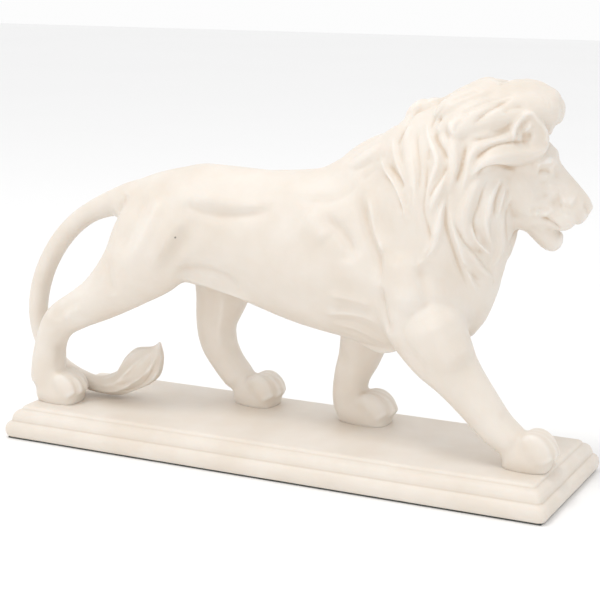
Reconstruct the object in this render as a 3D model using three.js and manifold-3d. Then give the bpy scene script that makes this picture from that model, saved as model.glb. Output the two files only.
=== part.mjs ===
// A walking lion, cast in cream alabaster resin, on a long moulded plinth with a felt underlay.
// Millimetres, +Z up. The lion walks along +X and its left side is +Y. The origin is the centre
// of the felt's underside. The lion is drawn out as one draws clay: every limb, muscle and lock
// of hair is a line of stations, and the forms are joined into one cast body.
import * as THREE from "three";
import { SimplifyModifier } from "three/addons/modifiers/SimplifyModifier.js";
import { mergeVertices } from "three/addons/utils/BufferGeometryUtils.js";
import Module from "manifold-3d";

const wasm = await Module();
wasm.setup();

// Plinth and felt
const PLINTH_LENGTH = 270;
const PLINTH_WIDTH = 82;
const FELT_THICKNESS = 1;
const FELT_INSET = 1;
// Each tier is a slab with rounded edges and mitred corners: how far in it stands, where its
// foot and its top lie, and the round of its edge.
const TIERS = [
  { inset: 0.4, foot: 1, top: 6, edge: 0.8 },
  { inset: 0, foot: 1, top: 8.25, edge: 2.75 },
  { inset: 2.25, foot: 5, top: 13.5, edge: 3.25 },
  { inset: 6.25, foot: 9, top: 15.25, edge: 1.5 },
];
const PLINTH_TOP = TIERS.at(-1).top;
const EDGE_STEPS = 4;
// What lies below the plinth's top is cut off the lion, as a block of this size.
const CUT = { length: 400, width: 200, depth: 60 };

// The body's facets, before the mane's locks are laid on it
const BODY_FACETS = 4400;
// How near two vertices lie when they are one
const WELD = 1e-4;
// How far a form's ends round out, as a share of its girth
const END_ROUND = 0.45;
// A lock's girth at its root, and where its fullest place lies along it
const LOCK_ROOT = 0.2;
const LOCK_START = 0.08;
const LOCK_FULLNESS = 0.8;

// The head turns to the lion's left about this point of its neck.
const HEAD_PIVOT = [88, 3, 0];
const HEAD_TURN = 20;

// Every station is [x, y, z, half depth, half width]: the depth lies in the upright plane of
// the form's own line, and the width across it.
const TRUNK = {
  torso: [
    [-92, 0, 112, 6, 7],
    [-82, 0, 110.3, 14, 13],
    [-68, 0, 105.8, 21.5, 18],
    [-50, 0, 104.4, 28.3, 20.5],
    [-32, 0, 104, 29, 19.5],
    [-12, 0, 100.4, 31.8, 20.5],
    [8, 0, 98.3, 35.3, 22.5],
    [28, 0, 98, 38.8, 24],
    [48, 0, 99, 43, 24],
    [68, 0, 101, 42, 22],
    [82, 0, 101, 30, 18],
  ],
  withers: [
    [8, 0, 125.5, 7, 7],
    [22, 0, 127.5, 10, 10],
    [36, 0, 132.5, 12.5, 13],
    [50, 0, 139, 13.5, 15],
    [62, 1, 148, 14, 15],
    [74, 3, 154, 12, 13],
  ],
};
// The mane stands around the neck as one mass, in level sections from the chest to the crown:
// here the depth lies along X.
const MANE = [
  [84, 0, 67, 4, 5],
  [81, 0, 74, 11.5, 11],
  [77, 0, 86, 20.5, 18],
  [74, 0, 100, 26.5, 24],
  [73, 1, 115, 28.5, 26.5],
  [74, 2, 130, 29.5, 27],
  [78, 4, 145, 27.5, 24],
  [84, 6, 157, 26, 19.5],
  [90, 8, 167, 22.5, 13],
  [93, 9, 172.5, 15, 8],
];

const LEGS = {
  nearFore: {
    line: [
      [57, -14, 118, 13, 7],
      [61, -16, 103, 16, 10.5],
      [66.5, -17.5, 88, 18, 12],
      [71.5, -18, 75, 18, 12],
      [79, -17.5, 62, 15, 11],
      [88.5, -16.5, 51, 11.3, 9.5],
      [97, -16, 41.5, 9.7, 8.6],
      [104.5, -15.5, 32, 8.8, 8.2],
      [111, -15, 24, 8, 8],
    ],
    paw: { at: [108, -15], length: 22.5, width: 9.5, height: 18, turn: 3 },
  },
  farFore: {
    line: [
      [53, 12, 118, 12, 6],
      [49, 15, 103, 15, 10],
      [42, 16, 86, 16, 11],
      [34.5, 16, 70, 14, 10.5],
      [29.6, 16, 57, 12, 9.5],
      [26.2, 16.5, 46, 10.1, 8.5],
      [22.8, 16.5, 37, 8.6, 8],
      [21.5, 16.5, 28, 8.2, 8],
      [22, 16.5, 21, 8, 8],
    ],
    paw: { at: [21.5, 16.5], length: 22, width: 9.3, height: 17.5, turn: 0 },
  },
  nearHind: {
    line: [
      [-56, -9, 114, 16, 9],
      [-61, -13, 101.5, 22, 12],
      [-69, -15, 90, 20.8, 12],
      [-79, -16.5, 79.5, 15.6, 11.5],
      [-92, -17, 69.2, 11.5, 10],
      [-105, -17.5, 61.5, 9.2, 8.6],
      [-116, -17.5, 54.5, 8.4, 8],
      [-121.3, -17.5, 45, 7.6, 7.6],
      [-123.3, -17.5, 35, 8.6, 7.8],
      [-124, -17.5, 25, 9, 8.2],
    ],
    paw: { at: [-124, -17.5], length: 20, width: 9, height: 15.5, turn: 2 },
  },
  farHind: {
    line: [
      [-47, 10, 110, 17, 8],
      [-43, 13.5, 97, 20, 11],
      [-43, 15.5, 84, 18.5, 11],
      [-46.6, 17.5, 68, 13.8, 10],
      [-50.2, 18.5, 54, 10.4, 8.6],
      [-49.6, 19.5, 43.5, 9.4, 8],
      [-45, 20, 34.5, 8, 7.8],
      [-39, 20.5, 27, 7.6, 8],
    ],
    paw: { at: [-38, 21], length: 21, width: 9.2, height: 16.5, turn: -3 },
  },
};

const TAIL = {
  tail: [
    [-60, 0, 116, 6, 7],
    [-73, 0, 117.2, 8.6, 8.6],
    [-83, 0, 115.6, 7.8, 7.8],
    [-92, 0, 112.2, 6.8, 6.8],
    [-101, -0.3, 109, 5.7, 5.6],
    [-108.5, -0.7, 105.4, 5.1, 5.1],
    [-116, -1, 100.2, 5, 5],
    [-122.7, -1.2, 93.8, 5, 5],
    [-128.3, -1.4, 86.8, 5, 5],
    [-132.8, -1.6, 79.4, 5, 5],
    [-136.3, -1.8, 71.5, 5, 5],
    [-138.6, -2, 63.5, 5, 5],
    [-139.6, -2.2, 55.5, 4.9, 4.9],
    [-139, -2.4, 47.5, 4.8, 4.8],
    [-136.6, -2.6, 40, 4.7, 4.7],
    [-132, -2.8, 33.2, 4.5, 4.5],
    [-125.5, -2.8, 27.6, 4.3, 4.4],
    [-117, -2.6, 23.6, 4.2, 4.4],
    [-108, -2.2, 21, 4.2, 4.5],
    [-99, -1.6, 21, 5, 5.6],
  ],
  tuft: [
    [-103, -1.8, 20.8, 4.2, 4.6],
    [-97, -1.5, 21.6, 5.2, 6.2],
    [-90.5, -1, 24.6, 7.2, 7.6],
    [-84, 0, 29.6, 8.9, 8],
    [-78, 0.5, 35, 7.6, 6.8],
    [-73, 1, 40.4, 4.4, 4.4],
    [-69.8, 1, 44.3, 1, 1],
  ],
};

// The head's forms before its turn: x runs from the neck's pivot to the nose. Those in PAIRS
// are on the near side and mirrored to the far side.
const HEAD = {
  cranium: [
    [2, 0, 146, 12, 12],
    [12, 0, 143, 14, 14.5],
    [22, 0, 142, 12, 12.5],
    [29, 0, 140.5, 8, 8.5],
  ],
  muzzle: [
    [12, 0, 133.5, 14, 14],
    [20, 0, 131.8, 13.5, 12.7],
    [28, 0, 129.2, 11, 9.6],
    [34, 0, 126, 9.8, 8],
    [39.5, 0, 122.2, 8, 7.6],
    [43.5, 0, 119.8, 5, 5.6],
  ],
  bridge: [
    [25.5, 0, 143, 6, 6],
    [32, 0, 136.4, 4.6, 5],
    [38, 0, 130.2, 4.2, 4.4],
    [42.6, 0, 125, 4, 4.5],
    [45.6, 0, 121.8, 2.8, 4],
  ],
  jaw: [
    [10, 0, 124, 8, 11],
    [18, 0, 119.5, 6, 8.5],
    [25, 0, 113.2, 5.2, 6.4],
    [30.5, 0, 108.8, 5.2, 5.6],
    [33.8, 0, 108.2, 4, 4.6],
  ],
};
const HEAD_PAIRS = {
  lip: [
    [31, -6, 119, 5, 3.5],
    [35, -5.2, 118, 6, 4.5],
    [38.5, -3.6, 117.6, 5, 4],
    [41, -1.5, 118, 3.4, 2.5],
  ],
  cheek: [
    [9, -9, 140, 6, 4],
    [14, -10, 134, 8, 5],
    [18, -9.3, 127.5, 7.5, 5],
    [22, -7.6, 122, 5, 4],
  ],
  brow: [
    [19, -9.5, 146.6, 3, 3],
    [25, -8.4, 145.6, 3, 3],
    [29.5, -5.8, 144.2, 3, 2.6],
    [32, -3.2, 141.6, 2, 2],
  ],
  eye: [
    [25, -7.9, 139.6, 1.4, 1.8],
    [27.2, -7.3, 138.4, 1.7, 1.9],
    [29.2, -6.3, 137.2, 1, 1.4],
  ],
};
const EAR = [
  [15, -12, 147, 5, 3],
  [17, -14.5, 153, 6.2, 4],
  [18.3, -15.6, 158.5, 5.6, 3.8],
  [19.2, -15.8, 162.6, 3.2, 2.2],
  [19.6, -15.6, 165, 1, 1],
];
const EAR_HOLLOW = [
  [20.5, -17.5, 153.5, 2.2, 2.4],
  [20.5, -18.5, 157, 3.2, 2.8],
  [20.5, -18.5, 160.6, 1.2, 1.6],
];

// The forelock rolls forward over the brow, and turns with the head.
const FORELOCK = [
  [-6, 0, 163, 11, 12],
  [4, 0, 164.5, 12.5, 13],
  [14, 0, 164.5, 12.7, 13],
  [23, 0, 163.5, 12, 12],
  [30.5, 0, 163.8, 8.8, 9.5],
];
// Locks of the mane, each from its root to its tip, with its half width and its half depth.
// These are on the neck's right side and carried across to its left.
const PAIRED_LOCKS = [
  { wide: 4.5, deep: 4, line: [[108, -9, 156], [110, -14, 149], [104, -15.5, 147.5], [98, -18, 144.5],
    [93, -20, 139.5], [91, -21, 133]] },
  { wide: 4.4, deep: 3.6, line: [[94, -18, 140], [91.5, -22, 132], [89, -23.5, 124], [89, -24, 116],
    [91.5, -22.5, 107], [96, -17.5, 99], [99, -9, 93]] },
  { wide: 3.6, deep: 3.4, line: [[102, -11, 141], [98, -16.5, 132], [96.5, -18, 123], [97, -16.5, 114],
    [99.5, -12, 104]] },
  { wide: 2.8, deep: 3, line: [[104, -6, 138], [102.5, -9.5, 130], [101, -10.5, 122], [100.5, -9, 114],
    [100.5, -4, 106]] },
  { wide: 3.4, deep: 3.2, line: [[88, -24, 124], [86.5, -25, 115], [88, -24, 106], [91, -20, 97],
    [94, -14, 90]] },
  { wide: 4.2, deep: 3.8, line: [[83, -19, 152], [84, -22, 143], [83.5, -24.5, 135], [80.5, -26, 128],
    [78, -27.5, 120], [78.5, -27.5, 112], [77, -27.5, 106], [72, -26.5, 99]] },
  { wide: 4, deep: 3.4, line: [[71, -11, 160], [76, -18.5, 152], [78, -22.5, 144], [76, -25.5, 136],
    [73, -27, 128], [72, -27.5, 119]] },
  { wide: 4, deep: 3.4, line: [[61, -9, 157], [64, -18, 147], [68, -25, 136], [70, -27, 125],
    [71.5, -28, 112]] },
  { wide: 3.8, deep: 3.4, line: [[54, -10, 153], [58, -18.5, 144], [63, -24.5, 134], [66, -27, 124],
    [64.5, -26.5, 115]] },
  { wide: 3.4, deep: 3.2, line: [[47, -12, 147], [52, -18, 139], [58, -24, 129], [61, -26.5, 119]] },
  { wide: 3.2, deep: 3, line: [[90, -17.5, 151], [86.5, -22, 141], [84, -25.5, 131], [83.5, -26.5, 121],
    [84.5, -26, 111], [87, -23, 101], [90.5, -17, 90], [91, -11, 83]] },
  { wide: 3, deep: 3, line: [[99.5, -8, 104], [97, -10, 96], [93.5, -10, 87], [89.5, -8, 79]] },
  { wide: 3.4, deep: 3.2, line: [[72, -9, 163], [78, -10, 167], [86, -6, 171], [95, -2, 173.5],
    [103, 0, 175]] },
  { wide: 3.4, deep: 3.2, line: [[76, -15, 157], [83, -13, 162.5], [91, -9.5, 166.5], [100, -6, 169.5],
    [109, -3, 170], [114, -2, 166]] },
  { wide: 3, deep: 3, line: [[82, -17, 154], [90, -15.5, 158], [98, -11, 162.5], [105, -8, 164]] },
  { wide: 3.4, deep: 3, line: [[24, -7, 130], [34, -8.5, 137.5], [44, -9.5, 144], [54, -9, 150.5],
    [63, -8, 158]] },
];
// Those of the crest, the forelock's front, the breast and the belly stand on the middle.
const CENTRE_LOCKS = [
  { wide: 4, deep: 4, line: [[20, 0, 132.5], [32, 0, 139.5], [43, 0, 145], [51, 0.5, 150.5],
    [58, 1, 158.5]] },
  { wide: 5, deep: 4, line: [[56, 1, 154], [62, 2, 161.5], [71, 3, 165.5], [80, 4, 169], [90, 5, 173.5],
    [99, 7, 173.5]] },
  { wide: 5, deep: 3.4, line: [[84, 9, 171], [94, 10, 173.5], [104, 11, 174], [112, 12.5, 172],
    [116.5, 13.5, 167], [117.5, 13.5, 160]] },
  { wide: 4.4, deep: 3.4, line: [[99.5, 2, 108], [98.3, 1, 101], [95.3, 0.5, 92], [91.5, 0, 82],
    [87.5, 0, 74], [84, 0, 68]] },
  { wide: 4, deep: 2.4, line: [[58, -5, 60], [47, -4, 58.5], [37, -3, 59], [27, -2, 61.5]] },
];

const lateral = new THREE.Vector3(0, 1, 0);

// The middle of the mane: it stands upright in the chest. From there it leans forward and to the
// lion's left, and above the ears the hair parts from one low point of the skull.
const CORE = { x: 72, forward: 14, left: 8, foot: 110, height: 60, parting: 146 };
// Behind this place the neck's lean to the left begins, and it is whole after this run.
const LEAN_START = 35;
const LEAN_RUN = 35;

const between = (value) => THREE.MathUtils.clamp(value, 0, 1);

function maneCore(z) {
  const rise = between((z - CORE.foot) / CORE.height);
  return new THREE.Vector3(CORE.x + CORE.forward * rise, CORE.left * rise, Math.min(z, CORE.parting));
}

function square(vector, along) {
  return vector.clone().addScaledVector(along, -vector.dot(along)).normalize();
}

// How the depth and the width of a ring lie across a form's line
const upright = (along) => {
  const across = square(lateral, along);
  return { across, deep: new THREE.Vector3().crossVectors(along, across) };
};
const levelled = () => ({ across: lateral, deep: new THREE.Vector3(-1, 0, 0) });
const onMane = (along, centre) => {
  const outward = centre.clone().sub(maneCore(centre.z));
  const deep = square(outward, along);
  return { across: new THREE.Vector3().crossVectors(deep, along), deep };
};

// A ball of clay drawn out along a line of stations: the sphere's rows become rings across the
// line, and its poles close the ends.
function drawn(stations, sides = 12, rowsPerSpan = 2, lie = upright) {
  const curve = (points) => new THREE.CatmullRomCurve3(points, false, "catmullrom", 0.5);
  const line = curve(stations.map(([x, y, z]) => new THREE.Vector3(x, y, z)));
  const girth = curve(stations.map(([, , , deep, wide]) => new THREE.Vector3(deep, wide, 0)));
  const rings = rowsPerSpan * (stations.length - 1) + 1;
  const ball = new THREE.SphereGeometry(1, sides, rings + 1);
  const position = ball.getAttribute("position");
  for (let row = 0; row <= rings + 1; row++) {
    const t = between((row - 1) / (rings - 1));
    const centre = line.getPoint(t);
    const along = line.getTangent(t);
    const { x: halfDepth, y: halfWidth } = girth.getPoint(t);
    const { across, deep } = lie(along, centre);
    const pole = row === 0 ? -1 : row === rings + 1 ? 1 : 0;
    centre.addScaledVector(along, pole * END_ROUND * Math.min(halfDepth, halfWidth));
    for (let side = 0; side <= sides; side++) {
      const turn = (2 * Math.PI * side) / sides;
      const point = centre.clone();
      if (pole === 0) {
        point.addScaledVector(across, -Math.cos(turn) * halfWidth);
        point.addScaledVector(deep, Math.sin(turn) * halfDepth);
      }
      position.setXYZ(row * (sides + 1) + side, point.x, point.y, point.z);
    }
  }
  return ball;
}

function solid(geometry) {
  const bare = geometry.clone();
  bare.deleteAttribute("normal");
  bare.deleteAttribute("uv");
  const merged = mergeVertices(bare, WELD);
  const mesh = new wasm.Mesh({
    numProp: 3,
    vertProperties: merged.getAttribute("position").array,
    triVerts: Uint32Array.from(merged.index.array),
  });
  return new wasm.Manifold(mesh);
}

const joined = (solids) => wasm.Manifold.union(solids);

function geometryOf(made) {
  const mesh = made.getMesh();
  return new THREE.BufferGeometry()
    .setAttribute("position", new THREE.BufferAttribute(mesh.vertProperties, 3))
    .setIndex(new THREE.BufferAttribute(mesh.triVerts, 1));
}

const mirrored = (stations) => stations.map(([x, y, ...rest]) => [x, -y, ...rest]);

// A lock swells from its root and runs out to a point.
function lock({ line, wide, deep }) {
  const stations = line.map((point, i) => {
    const t = i / (line.length - 1);
    const along = (LOCK_START + (1 - LOCK_START) * t) ** LOCK_FULLNESS;
    const swell = LOCK_ROOT + (1 - LOCK_ROOT) * Math.sin(Math.PI * along);
    return [...point, deep * swell, wide * swell];
  });
  return solid(drawn(stations, 5, 1, onMane));
}

// The same lock on the neck's left side
function acrossMane({ line, wide, deep }) {
  const flipped = line.map(([x, y, z]) => {
    const middle = maneCore(z).y * between((x - LEAN_START) / LEAN_RUN);
    return [x, 2 * middle - y, z];
  });
  return { line: flipped, wide, deep };
}

// The joints between forms leave slivers, which are thinned to an even mesh.
async function thinned(made, facets) {
  const dense = geometryOf(made);
  const spare = dense.getAttribute("position").count - facets / 2;
  return solid(await new SimplifyModifier().modify(dense, spare));
}

// A paw: the pad, and four toes that arch forward over it. Their stations are shares of the paw's
// length, half width and height, and the outer toes reach less far.
function paw({ at: [x, y], length, width, height, turn }) {
  const pad = [
    [-3, 0, 0.5 * height, 0.45 * height, 0.85 * width],
    [0.3 * length, 0, 0.42 * height, 0.48 * height, 0.95 * width],
    [0.65 * length, 0, 0.34 * height, 0.4 * height, width],
    [0.84 * length, 0, 0.28 * height, 0.28 * height, 0.85 * width],
  ];
  const parts = [drawn(pad, 10, 1)];
  for (const across of [-1, -0.34, 0.34, 1]) {
    const reach = length * (1 - 0.13 * across ** 2);
    const b = 0.7 * across * width;
    const toe = [
      [0.3 * length, 0.75 * b, 0.62 * height, 0.2 * height, 0.2 * width],
      [0.6 * length, 0.95 * b, 0.6 * height, 0.27 * height, 0.27 * width],
      [0.84 * reach, b, 0.4 * height, 0.32 * height, 0.3 * width],
      [0.95 * reach, b, 0.18 * height, 0.2 * height, 0.27 * width],
    ];
    parts.push(drawn(toe, 8, 1));
  }
  const place = new THREE.Matrix4()
    .makeRotationZ(THREE.MathUtils.degToRad(turn))
    .setPosition(x, y, PLINTH_TOP);
  return parts.map((part) => solid(part.applyMatrix4(place)));
}

function head() {
  const place = new THREE.Matrix4()
    .makeRotationZ(THREE.MathUtils.degToRad(HEAD_TURN))
    .setPosition(...HEAD_PIVOT);
  const set = (stations, sides) => solid(drawn(stations, sides, 2).applyMatrix4(place));
  const bothSides = (stations, sides) => [set(stations, sides), set(mirrored(stations), sides)];
  const skull = [
    ...Object.values(HEAD).map((stations) => set(stations, 12)),
    ...Object.values(HEAD_PAIRS).flatMap((stations) => bothSides(stations, 8)),
    ...bothSides(EAR, 8),
    set(FORELOCK, 14),
  ];
  return joined(skull).subtract(joined(bothSides(EAR_HOLLOW, 6)));
}

async function lion() {
  const forms = [
    ...Object.values(TRUNK).map((stations) => solid(drawn(stations, 18, 2))),
    solid(drawn(MANE, 18, 2, levelled)),
    solid(drawn(TAIL.tail, 8, 1)),
    solid(drawn(TAIL.tuft, 10, 2)),
    head(),
  ];
  for (const leg of Object.values(LEGS)) {
    forms.push(solid(drawn(leg.line, 12, 2)), ...paw(leg.paw));
  }
  const body = await thinned(joined(forms), BODY_FACETS);
  const locks = [
    ...PAIRED_LOCKS.flatMap((one) => [lock(one), lock(acrossMane(one))]),
    ...CENTRE_LOCKS.map(lock),
  ];
  const below = new THREE.BoxGeometry(CUT.length, CUT.width, CUT.depth);
  below.translate(0, 0, PLINTH_TOP - CUT.depth / 2);
  return joined([body, ...locks]).subtract(solid(below));
}

function slab(inset, foot, top, edge) {
  const x = PLINTH_LENGTH / 2 - inset - edge;
  const y = PLINTH_WIDTH / 2 - inset - edge;
  const corners = [[-x, -y], [x, -y], [x, y], [-x, y]].map(([u, v]) => new THREE.Vector2(u, v));
  const extruded = new THREE.ExtrudeGeometry(new THREE.Shape(corners), {
    depth: top - foot - 2 * edge,
    bevelEnabled: edge > 0,
    bevelThickness: edge,
    bevelSize: edge,
    bevelSegments: EDGE_STEPS,
  });
  return extruded.translate(0, 0, foot + edge);
}

function plinth() {
  return joined(TIERS.map(({ inset, foot, top, edge }) => solid(slab(inset, foot, top, edge))));
}

const figurine = new THREE.Group();

function piece(name, geometry, color, roughness) {
  const material = new THREE.MeshStandardMaterial({ color, roughness, metalness: 0 });
  const mesh = new THREE.Mesh(geometry, material);
  mesh.name = name;
  figurine.add(mesh);
}

piece("lion", geometryOf(await lion()), 0xf2e8dc, 0.5);
piece("plinth", geometryOf(plinth()), 0xf3e9da, 0.55);
piece("felt_underlay", slab(FELT_INSET, 0, FELT_THICKNESS, 0), 0x4a504c, 0.95);

export default figurine;
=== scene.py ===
# A walking lion cast in cream alabaster resin, on a moulded plinth with a felt underlay.
# Metres, +Z up, the lion walks along +X. The clay is worked in millimetres and brought to
# metres when it is cast.
import math

import bmesh
import bpy
import numpy as np
from mathutils import Matrix, Vector
from mathutils.bvhtree import BVHTree


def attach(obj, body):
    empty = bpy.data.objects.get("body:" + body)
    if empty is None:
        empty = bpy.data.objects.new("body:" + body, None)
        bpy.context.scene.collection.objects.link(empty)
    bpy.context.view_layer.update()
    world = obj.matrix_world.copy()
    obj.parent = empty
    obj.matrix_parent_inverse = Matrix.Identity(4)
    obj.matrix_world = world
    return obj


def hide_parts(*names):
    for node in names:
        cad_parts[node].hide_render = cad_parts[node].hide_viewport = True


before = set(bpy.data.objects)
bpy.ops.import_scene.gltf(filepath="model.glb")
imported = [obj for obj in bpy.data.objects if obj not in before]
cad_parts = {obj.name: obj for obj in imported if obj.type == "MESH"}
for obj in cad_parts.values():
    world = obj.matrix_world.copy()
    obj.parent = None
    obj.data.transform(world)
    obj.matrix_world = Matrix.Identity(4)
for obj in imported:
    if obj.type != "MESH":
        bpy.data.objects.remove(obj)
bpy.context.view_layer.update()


# The lion: one solid casting. The sculptor's clay is drawn out in rolls along lines of stations,
# pressed together, filled at the joints and smoothed. Every station is
# [x, y, z, half depth, half width] in mm.
MM = 0.001
# The plinth's top over the table
PLINTH_TOP = 15.25

TORSO = [
    [-92, 0, 112, 6, 7], [-82, 0, 110.3, 14, 13], [-68, 0, 105.8, 21.5, 18],
    [-50, 0, 104.4, 28.3, 20.5], [-32, 0, 104, 29, 19.5], [-12, 0, 100.6, 32.3, 20.5],
    [8, 0, 98.5, 35.8, 22.5], [28, 0, 98, 38.8, 24], [48, 0, 99, 43, 24], [68, 0, 101, 42, 22],
    [82, 0, 101, 30, 18],
]
WITHERS = [
    [8, 0, 125.5, 7, 7], [22, 0, 127.5, 10, 10], [36, 0, 132.5, 12.5, 13], [50, 0, 139, 13.5, 15],
    [62, 1, 148, 14, 15], [74, 3, 154, 12, 13],
]
CROUP = [
    [-90, 0, 111.5, 7, 6], [-74, 0, 114, 11.5, 10], [-59, 0, 117, 13, 14], [-44, 0, 119, 13.5, 16],
    [-30, 0, 118, 13, 15],
]
MANE = [
    [84, 0, 67, 4, 5], [81, 0, 74, 12, 12], [76.5, 0, 86, 21, 19.5], [73.4, 0, 100, 27.4, 25.6],
    [73.4, 1, 115, 30.8, 28.5], [74, 2, 130, 31, 29], [78, 4, 145, 29, 26],
    [84, 6, 157, 27.2, 21.5], [90, 8, 167, 23.5, 14.5], [93, 9, 172.5, 15.5, 9],
]
NEAR_FORELEG = [
    [57, -14, 118, 13, 7], [61, -16, 103, 16, 10.5], [66.5, -17.5, 88, 18, 12],
    [71.5, -18, 75, 18, 12], [79, -17.5, 62, 15, 11], [87.8, -16.5, 51, 11.3, 9.5],
    [96, -16, 41.5, 9.5, 8.6], [103.8, -15.6, 32.4, 8.4, 8.2], [111.6, -15.2, 26.2, 7.3, 8],
]
FAR_FORELEG = [
    [53, 12, 118, 12, 6], [49, 15, 103, 15, 10], [42, 16, 86, 16, 11], [34.5, 16, 70, 14, 10.5],
    [29.6, 16, 57, 12, 9.5], [26.2, 16.5, 46, 10.1, 8.5], [22.8, 16.5, 37, 8.6, 8],
    [21.5, 16.5, 28, 8.2, 8], [22, 16.5, 21, 8, 8],
]
NEAR_HINDLEG = [
    [-56, -9, 114, 16, 9], [-61, -13, 101.5, 22, 12], [-69, -15, 90, 20.8, 12],
    [-79, -16.5, 79.5, 15.6, 11.5], [-92, -17, 69.2, 11.5, 10], [-105, -17.5, 61.5, 9.2, 8.6],
    [-116, -17.5, 54.5, 8.4, 8], [-121.3, -17.5, 45, 7.6, 7.6], [-123.3, -17.5, 35, 8.6, 7.8],
    [-124, -17.5, 25, 9, 8.2],
]
FAR_HINDLEG = [
    [-47, 10, 110, 17, 8], [-43, 13.5, 97, 20, 11], [-43, 15.5, 84, 18.5, 11],
    [-46.6, 17.5, 68, 13.8, 10], [-50.2, 18.5, 54, 10.4, 8.6], [-49.6, 19.5, 43.5, 9.4, 8],
    [-45, 20, 34.5, 8, 7.8], [-39, 20.5, 27, 7.6, 8],
]
TAIL = [
    [-60, 0, 114, 6, 7], [-73, 0, 116, 8.6, 8.6], [-83, 0, 114.9, 7.8, 7.8],
    [-92, 0, 112.2, 6.8, 6.8], [-101, -0.3, 109, 5.7, 5.6], [-108.5, -0.7, 105.4, 5.1, 5.1],
    [-116, -1, 100.2, 5, 5], [-122.7, -1.2, 93.8, 5, 5], [-128.3, -1.4, 86.8, 5, 5],
    [-132.8, -1.6, 79.4, 5, 5], [-136.3, -1.8, 71.5, 5, 5], [-138.6, -2, 63.5, 5, 5],
    [-139.6, -2.2, 55.5, 4.9, 4.9], [-139, -2.4, 47.5, 4.8, 4.8], [-136.6, -2.6, 40, 4.7, 4.7],
    [-132, -2.8, 33.2, 4.5, 4.5], [-125.5, -2.8, 27.6, 4.3, 4.4], [-117, -2.6, 23.6, 4.2, 4.4],
    [-108, -2.2, 21, 4.2, 4.5], [-99, -1.6, 21, 5, 5.6],
]
# Where each leg ends: the ankle's place on the plinth, the paw's length, half width and height,
# and how many degrees it turns outwards
PAWS = {
    "near_fore": ((113.2, -14.9), 14.8, 8.7, 17, 3),
    "far_fore": ((21.5, 16.5), 20.8, 9.2, 15.2, 0),
    "near_hind": ((-124, -17.5), 17.4, 9, 15.2, 2),
    "far_hind": ((-35.5, 21), 16.8, 9.2, 15.8, -3),
}

# A roll's round end: its rows, and how far it stands out against the roll's thinner side
END_ROWS = 3
END_ROUND = 0.45
# A roll's least half depth and half width
THINNEST = 0.15
# How far before and after a place a line's way is read
NUDGE = 1e-3
# The depth of the grooves between strands, as a share of the lock's half width
STRAND_DEPTH = 0.07


def spline(points, t):
    """A smooth line through the points, at places t from 0 to 1."""
    points = np.asarray(points, float)
    run = np.vstack([2 * points[0] - points[1], points, 2 * points[-1] - points[-2]])
    place = np.clip(np.asarray(t, float), 0, 1) * (len(points) - 1)
    span = np.minimum(place.astype(int), len(points) - 2)
    w = (place - span)[..., None]
    before, start, stop, after = (run[span + k] for k in range(4))
    leave, arrive = (stop - before) / 2, (after - start) / 2
    bend = 3 * (stop - start) - 2 * leave - arrive
    return start + leave * w + bend * w**2 + (2 * (start - stop) + leave + arrive) * w**3


def unit(vectors):
    """The same ways with the length of one."""
    return vectors / np.maximum(np.linalg.norm(vectors, axis=-1, keepdims=True), 1e-9)


def upright(along, centre):
    """Rings whose depth lies in the upright plane of the line."""
    side = np.array([0.0, 1.0, 0.0])
    across = unit(side - along * (along @ side)[:, None])
    return across, np.cross(along, across)


def level(along, centre):
    """Level rings, as round a neck: the depth lies along X."""
    left, back = np.array([[0.0, 1.0, 0.0], [-1.0, 0.0, 0.0]])
    return np.broadcast_to(left, along.shape), np.broadcast_to(back, along.shape)


def drawn(clay, stations, sides, rows_per_span=6, lie=upright, place=None, strands=0, facings=None):
    """Draws a ball of clay out along a line of stations. Its rows become rings across the line,
    and the rows at its ends round it off. Strands are grooves along a lock of hair."""
    stations = np.asarray(stations, float)
    rows = rows_per_span * (len(stations) - 1) + 1
    rings = rows + 2 * END_ROWS + 1
    roll = bmesh.new()
    bmesh.ops.create_uvsphere(roll, u_segments=sides, v_segments=rings, radius=1)
    sphere = np.array([v.co for v in roll.verts])
    row = np.round(np.arccos(np.clip(sphere[:, 2], -1, 1)) / math.pi * rings) - 1 - END_ROWS
    turn = np.arctan2(sphere[:, 1], sphere[:, 0])
    past = np.where(row < 0, row, np.maximum(row - (rows - 1), 0)) / (END_ROWS + 1) * math.pi / 2
    t = np.clip(row / (rows - 1), 0, 1)
    centre = spline(stations[:, :3], t)
    ahead = np.minimum(t + NUDGE, 1)
    behind = np.maximum(t - NUDGE, 0)
    along = unit(spline(stations[:, :3], ahead) - spline(stations[:, :3], behind))
    depth, width = np.maximum(spline(stations[:, 3:], t), THINNEST).T
    if facings is None:
        across, deep = lie(along, centre)
    else:
        facing = spline(facings, t)
        deep = unit(facing - along * np.einsum("ij,ij->i", facing, along)[:, None])
        across = np.cross(deep, along)
    shrink = np.cos(past)
    if strands:
        shrink = shrink * (1 + STRAND_DEPTH * np.cos(strands * (turn - math.pi / 2)))
    point = centre + along * (np.sin(past) * END_ROUND * np.minimum(depth, width))[:, None]
    point = point + across * (-np.cos(turn) * width * shrink)[:, None]
    point = point + deep * (np.sin(turn) * depth * shrink)[:, None]
    if place is not None:
        point = place(point)
    for vert, co in zip(roll.verts, point):
        vert.co = co
    bmesh.ops.recalc_face_normals(roll, faces=roll.faces[:])
    lump = bpy.data.meshes.new("lump")
    roll.to_mesh(lump)
    roll.free()
    clay.from_mesh(lump)
    bpy.data.meshes.remove(lump)


def cast(clay, name):
    """Clay taken out of bmesh as an object."""
    mesh = bpy.data.meshes.new(name)
    clay.to_mesh(mesh)
    clay.free()
    piece = bpy.data.objects.new(name, mesh)
    bpy.context.scene.collection.objects.link(piece)
    return piece


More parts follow.
